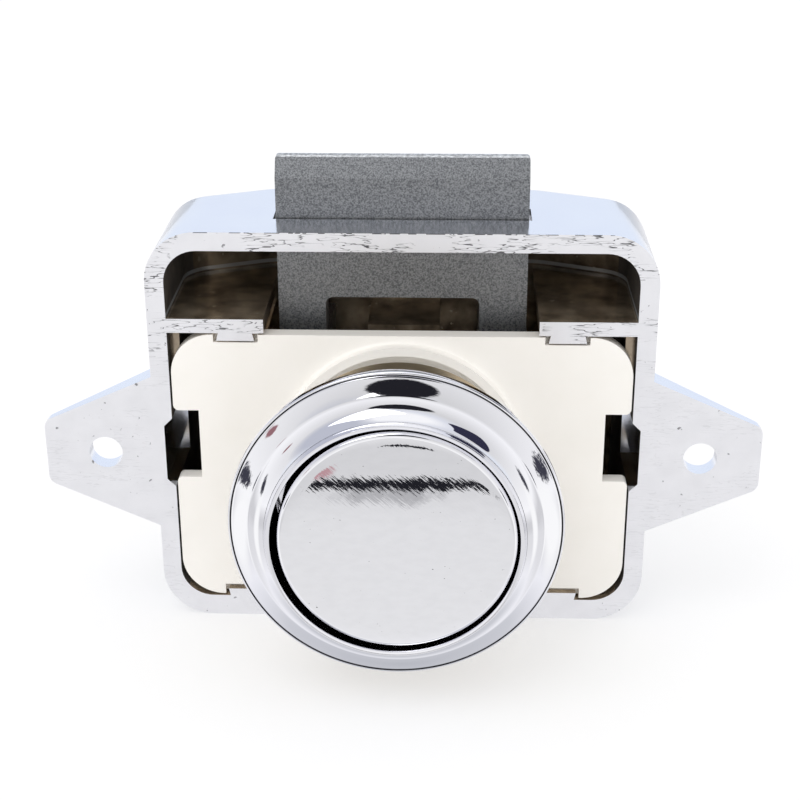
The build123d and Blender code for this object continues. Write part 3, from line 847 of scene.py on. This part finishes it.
@dataclass
class SpringsAndThread:
    """Three compression springs and the start of the neck's thread.

    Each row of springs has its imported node, the axis that it lies along, its wire radius and its turns.
    """

    coils: WireCoils = field(default_factory=WireCoils)
    springs: tuple[tuple[str, str, float, int], ...] = (
        ("button_spring", "Y", 0.35 * MM, 8),
        ("bolt_spring_left", "Z", 0.25 * MM, 9),
        ("bolt_spring_right", "Z", 0.25 * MM, 9),
    )
    bolt_travel: float = 7.0 * MM
    thread_r: float = 10.42 * MM
    thread_wire: float = 0.22 * MM
    thread_pitch: float = 1.1 * MM
    thread_front: float = -5.0 * MM
    thread_rear: float = -1.6 * MM

    def spring(self, node: str, axis: str, wire_r: float, turns: int) -> bpy.types.Object:
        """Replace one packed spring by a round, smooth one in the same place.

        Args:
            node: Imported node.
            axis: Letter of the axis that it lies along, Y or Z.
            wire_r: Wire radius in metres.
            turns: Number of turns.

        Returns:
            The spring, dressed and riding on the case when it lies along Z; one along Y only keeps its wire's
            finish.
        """
        low, high = (Vector(c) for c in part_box(node))
        mid = (low + high) / 2
        radius = (high.x - low.x) / 2 - wire_r
        finish = SPRING_METAL.material()
        along = 1 if axis == "Y" else 2
        height = high[along] - low[along] - 2 * wire_r
        if axis == "Y":
            place = Matrix.Translation((mid.x, high.y - wire_r, mid.z)) @ Matrix.Rotation(math.pi / 2, 4, "X")
        else:
            place = Matrix.Translation((mid.x, mid.y, low.z + wire_r))
        sizes = {"Radius": radius, "Height": height, "Turns": turns, "Wire radius": wire_r}
        piece = self.coils.coil(node + "_wire", sizes, finish, place)
        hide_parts(node)
        if axis == "Y":
            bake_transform(piece)
            return piece
        dress(piece, "lock_case", Slot.SPRING, finish)
        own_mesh(piece)
        return piece

    def thread(self, finish: bpy.types.Material) -> bpy.types.Object:
        """Make the thread ridge that shows between the collar and the rosette's sleeve.

        Args:
            finish: Material of the moulding.

        Returns:
            The dressed ridge.
        """
        height = self.thread_rear - self.thread_front
        turns = height / self.thread_pitch
        place = Matrix.Translation((0, self.thread_rear, 0)) @ Matrix.Rotation(math.pi / 2, 4, "X")
        sizes = {"Radius": self.thread_r, "Height": height, "Turns": turns, "Wire radius": self.thread_wire}
        piece = self.coils.coil("neck_thread", sizes, finish, place)
        return dress(piece, "lock_case", Slot.PLASTIC, finish)

    def build(self, cream: bpy.types.Material) -> None:
        """Build all springs and the thread.

        Args:
            cream: Material of the moulding.
        """
        for node, axis, wire_r, turns in self.springs:
            self.spring(node, axis, wire_r, turns)
        self.thread(cream)


@dataclass
class Bolt:
    """Grey cast bolt whose top edge is rubbed and carries a painted highlight."""

    rubbed_highlight_from: float = 31.2 * MM

    def build(self) -> bpy.types.Object:
        """Build and dress the bolt.

        Returns:
            The dressed bolt.
        """
        piece = merged_copy("latch_bolt", "bolt_casting")
        for face in piece.data.polygons:
            # Faces above this height take the rubbed finish with its painted highlight.
            face.material_index = int(face.center.z > self.rubbed_highlight_from)
        return dress(piece, "bolt", Slot.BOLT, BOLT_METAL.material(), RUBBED_HIGHLIGHT_METAL.material())


class InnerPieces:
    """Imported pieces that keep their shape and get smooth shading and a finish."""

    def build(self, cream: bpy.types.Material) -> None:
        """Dress the moulded and turned pieces.

        Args:
            cream: Material of the mouldings.
        """
        steel, brass, wire = STEEL_METAL.material(), BRASS_METAL.material(), SPRING_METAL.material()
        rows = [
            ("cover", "cover_moulding", "lock_case", Slot.PLASTIC, cream),
            ("plunger", "plunger_moulding", "button", Slot.PLASTIC, cream),
            ("knob_core", "knob_core_moulding", "knob", Slot.PLASTIC, cream),
            ("plunger_insert", "insert_turning", "button", Slot.BRASS, brass),
            ("adjusting_stud", "stud_turning", "button", Slot.STEEL, steel),
            ("lock_nut", "nut_turning", "button", Slot.STEEL, steel),
            ("drive_pin_left", "left_pin", "button", Slot.STEEL, steel),
            ("drive_pin_right", "right_pin", "button", Slot.STEEL, steel),
            ("cam_wire", "follower_wire", "lock_case", Slot.SPRING, wire),
        ]
        for node, name, body, slot, finish in rows:
            dress(merged_copy(node, name), body, slot, finish)


@dataclass(frozen=True)
class Flag:
    """Oval of one tone in the room that polished metal reflects; all angles are in degrees.

    Soft is the share of its size over which its edge fades, and ragged is how far noise breaks the edge up.
    Corners is the power that squares it: 2 is an ellipse.
    """

    turn: float
    lift: float
    half_turn: float
    half_lift: float
    soft: float = 0.12
    tone: Colour = (0.015, 0.015, 0.02)
    ragged: float = 0.5
    corners: float = 2.0


@dataclass
class Studio:
    """Pale floor, soft light and the camera at the photograph's angle.

    Levels give the room's tone at angles above the horizon, in degrees. Flags are hung over them in order.
    """

    camera_place: Triple = (5.195 * MM, -156.947 * MM, 74.336 * MM)
    pitch: float = 23.365
    yaw: float = -1.942
    roll: float = -0.188
    lens: float = 72.53
    sensor: float = 36.0
    clip: Pair = (1 * MM, 100.0)
    floor_half: float = 3.0
    floor_z: float = -20.02 * MM
    floor_tone: Colour = (0.97, 0.97, 0.98)
    floor_white: float = 0.5
    key_place: Triple = (-0.25, -0.35, 0.7)
    key_size: float = 0.5
    key_power: float = 1.2
    soft_strength: float = 1.02
    ragged_scale: float = 40.0
    ragged_detail: float = 8.0
    ragged_rough: float = 0.66
    ragged_gain: float = 4.0
    levels: tuple[tuple[float, Colour], ...] = (
        (-90, (0.50, 0.51, 0.55)),
        (-62, (0.62, 0.63, 0.67)),
        (-45, (0.90, 0.90, 0.94)),
        (-34, (0.78, 0.78, 0.80)),
        (-27, (0.76, 0.76, 0.78)),
        (-24, (0.66, 0.66, 0.68)),
        (-21, (0.66, 0.66, 0.68)),
        (-14, (0.97, 0.97, 0.99)),
        (0, (0.88, 0.88, 0.90)),
        (38, (0.67, 0.67, 0.68)),
        (55, (0.74, 0.76, 0.83)),
        (70, (0.97, 0.97, 0.99)),
        (90, (0.97, 0.98, 1.0)),
    )
    flags: tuple[Flag, ...] = (
        Flag(-180, 18, 70, 25, 0.5, (0.79, 0.85, 0.96), 0.0),
        Flag(180, 18, 70, 25, 0.5, (0.79, 0.85, 0.96), 0.0),
        Flag(-66, -27, 14, 15, 0.6, (1.0, 1.0, 1.0), 0.0),
        Flag(62, -24, 14, 17, 0.6, (1.0, 1.0, 1.0), 0.0),
        Flag(-95, 45, 62, 25, 0.5, (0.52, 0.54, 0.62), 0.1),
        Flag(1, 36, 17.5, 11.5, ragged=0.16),
        Flag(80, 41, 27, 13, 0.12, (0.03, 0.03, 0.06), 0.15, 6.0),
        Flag(-54, -10, 10, 3.2, 0.3, (0.05, 0.05, 0.07), 1.2),
        Flag(49, -5, 7, 5, 0.3, (0.05, 0.05, 0.07), 1.2),
        Flag(-43, 5, 3.2, 2.8, 0.3, (0.30, 0.15, 0.17)),
        Flag(-7, -23.7, 0.85, 0.45, 0.4, (0.50, 0.30, 0.33)),
        Flag(-2.8, -25.4, 3.2, 0.5, 0.6, (0.45, 0.45, 0.47), 1.6),
        Flag(-1.5, -24.6, 6.6, 0.36, 0.1, ragged=1.6),
        Flag(-1.3, -21.5, 1.9, 0.4, 0.1),
    )

    def camera(self) -> None:
        """Place the camera."""
        e, h, k = (math.radians(a) for a in (self.pitch, self.yaw, self.roll))
        ahead = Vector((math.sin(h) * math.cos(e), math.cos(h) * math.cos(e), -math.sin(e)))
        right = Vector((math.cos(h), -math.sin(h), 0))
        up = right.cross(ahead)
        turned_right = right * math.cos(k) + up * math.sin(k)
        turned_up = up * math.cos(k) - right * math.sin(k)
        data = bpy.data.cameras.new("photo_camera")
        data.lens, data.sensor_width = self.lens, self.sensor
        data.clip_start, data.clip_end = self.clip
        camera = bpy.data.objects.new("photo_camera", data)
        turn = Matrix((turned_right, turned_up, -ahead)).transposed().to_4x4()
        camera.matrix_world = Matrix.Translation(self.camera_place) @ turn
        bpy.context.scene.collection.objects.link(camera)
        bpy.context.scene.camera = camera

    def floor(self) -> None:
        """Lay the floor, half of it plain white to the camera and none of it seen in polished metal."""
        half, z = self.floor_half, self.floor_z
        mesh = bpy.data.meshes.new("floor")
        corners = [(-half, -half, z), (half, -half, z), (half, half, z), (-half, half, z)]
        mesh.from_pydata(corners, [], [(0, 1, 2, 3)])
        mat = bpy.data.materials.new("floor_paper")
        mat.use_nodes = True
        tree = NodeTree(mat.node_tree)
        paper = tree.add("ShaderNodeBsdfDiffuse", Color=(*self.floor_tone, 1.0))
        clear = tree.add("ShaderNodeBsdfTransparent")
        white = tree.add("ShaderNodeEmission", Strength=1.0)
        path = tree.add("ShaderNodeLightPath")
        share = tree.calc("MULTIPLY", path.outputs["Is Camera Ray"], self.floor_white)
        seen = tree.mix(share, paper.outputs[0], white.outputs[0])
        shader = tree.mix(path.outputs["Is Glossy Ray"], seen, clear.outputs[0])
        tree.add("ShaderNodeOutputMaterial", {"Surface": shader})
        mesh.materials.append(mat)
        floor = bpy.data.objects.new("floor", mesh)
        bpy.context.scene.collection.objects.link(floor)

    def world(self) -> None:
        """Make a white room whose levels and flags show in polished metal only."""
        world = bpy.data.worlds.new("white_room")
        bpy.context.scene.world = world
        world.use_nodes = True
        tree = NodeTree(world.node_tree)
        way = tree.add("ShaderNodeTexCoord").outputs["Generated"]
        parts = tree.add("ShaderNodeSeparateXYZ", {"Vector": way})
        turn = tree.calc("ARCTAN2", parts.outputs["X"], tree.calc("MULTIPLY", parts.outputs["Y"], -1.0))
        lift = tree.calc("ARCSINE", parts.outputs["Z"])
        level = tree.remap(lift, (math.radians(-90), math.radians(90)))
        shade = tree.ramp(level, [(e + 90) / 180 for e, _ in self.levels], [c for _, c in self.levels])
        rough = tree.add(
            "ShaderNodeTexNoise", {"Vector": way}, Scale=self.ragged_scale, Detail=self.ragged_detail,
            Roughness=self.ragged_rough,
        )
        for flag in self.flags:
            shade = self.hang(tree, flag, (turn, lift, rough.outputs["Fac"]), shade)
        room = tree.add("ShaderNodeBackground", {"Color": shade}, Strength=1.0)
        soft = tree.add("ShaderNodeBackground", Color=(*WHITE, 1.0), Strength=self.soft_strength)
        seen = tree.add("ShaderNodeBackground", Color=(*WHITE, 1.0), Strength=1.0)
        path = tree.add("ShaderNodeLightPath")
        glossy = tree.mix(path.outputs["Is Glossy Ray"], soft.outputs[0], room.outputs[0])
        clear = tree.mix(path.outputs["Is Transmission Ray"], glossy, seen.outputs[0])
        final = tree.mix(path.outputs["Is Camera Ray"], clear, seen.outputs[0])
        tree.add("ShaderNodeOutputWorld", {"Surface": final})

    def hang(self, tree: NodeTree, flag: Flag, way: tuple[Socket, Socket, Socket], shade: Socket) -> Socket:
        """Hang one oval in the room.

        Args:
            tree: The world's tree.
            flag: Place, size and tone of the oval.
            way: Direction's angle about Z from straight ahead, angle above the horizon, and noise.
            shade: Colour so far.

        Returns:
            The colour with the oval in it.
        """
        turn, lift, noise = way
        sides = []
        for socket, centre, half in ((turn, flag.turn, flag.half_turn), (lift, flag.lift, flag.half_lift)):
            away = tree.calc("SUBTRACT", socket, math.radians(centre))
            share = tree.calc("ABSOLUTE", tree.calc("DIVIDE", away, math.radians(half)))
            sides.append(tree.calc("POWER", share, flag.corners))
        links = {0: tree.calc("SUBTRACT", noise, 0.5), 2: tree.calc("ADD", *sides)}
        uneven = tree.add("ShaderNodeMath", links, operation="MULTIPLY_ADD")
        uneven.inputs[1].default_value = self.ragged_gain * flag.ragged
        mask = tree.remap(uneven.outputs[0], (1.0 + flag.soft, 1.0 - flag.soft))
        return tree.tint(mask, shade, flag.tone)

    def lamp(self) -> None:
        """Hang one soft lamp above and in front."""
        data = bpy.data.lights.new("key", "AREA")
        data.size, data.energy = self.key_size, self.key_power
        lamp = bpy.data.objects.new("key", data)
        place = Vector(self.key_place)
        lamp.matrix_world = Matrix.Translation(place) @ place.to_track_quat("Z", "Y").to_matrix().to_4x4()
        bpy.context.scene.collection.objects.link(lamp)

    def build(self) -> None:
        """Build the whole studio."""
        self.camera()
        self.floor()
        self.world()
        self.lamp()
        bpy.context.scene.view_settings.view_transform = "Standard"


def main() -> None:
    """Build each sub-assembly in order."""
    logging.basicConfig(level=logging.INFO, format="%(message)s")
    cream = CREAM_PLASTIC.material()
    CaseTray().build()
    Bolt().build()
    InnerPieces().build(cream)
    turned = KnobAndRosette()
    turned.cap()
    turned.rosette()
    SpringsAndThread().build(cream)
    Studio().build()


if __name__ == "__main__":
    main()
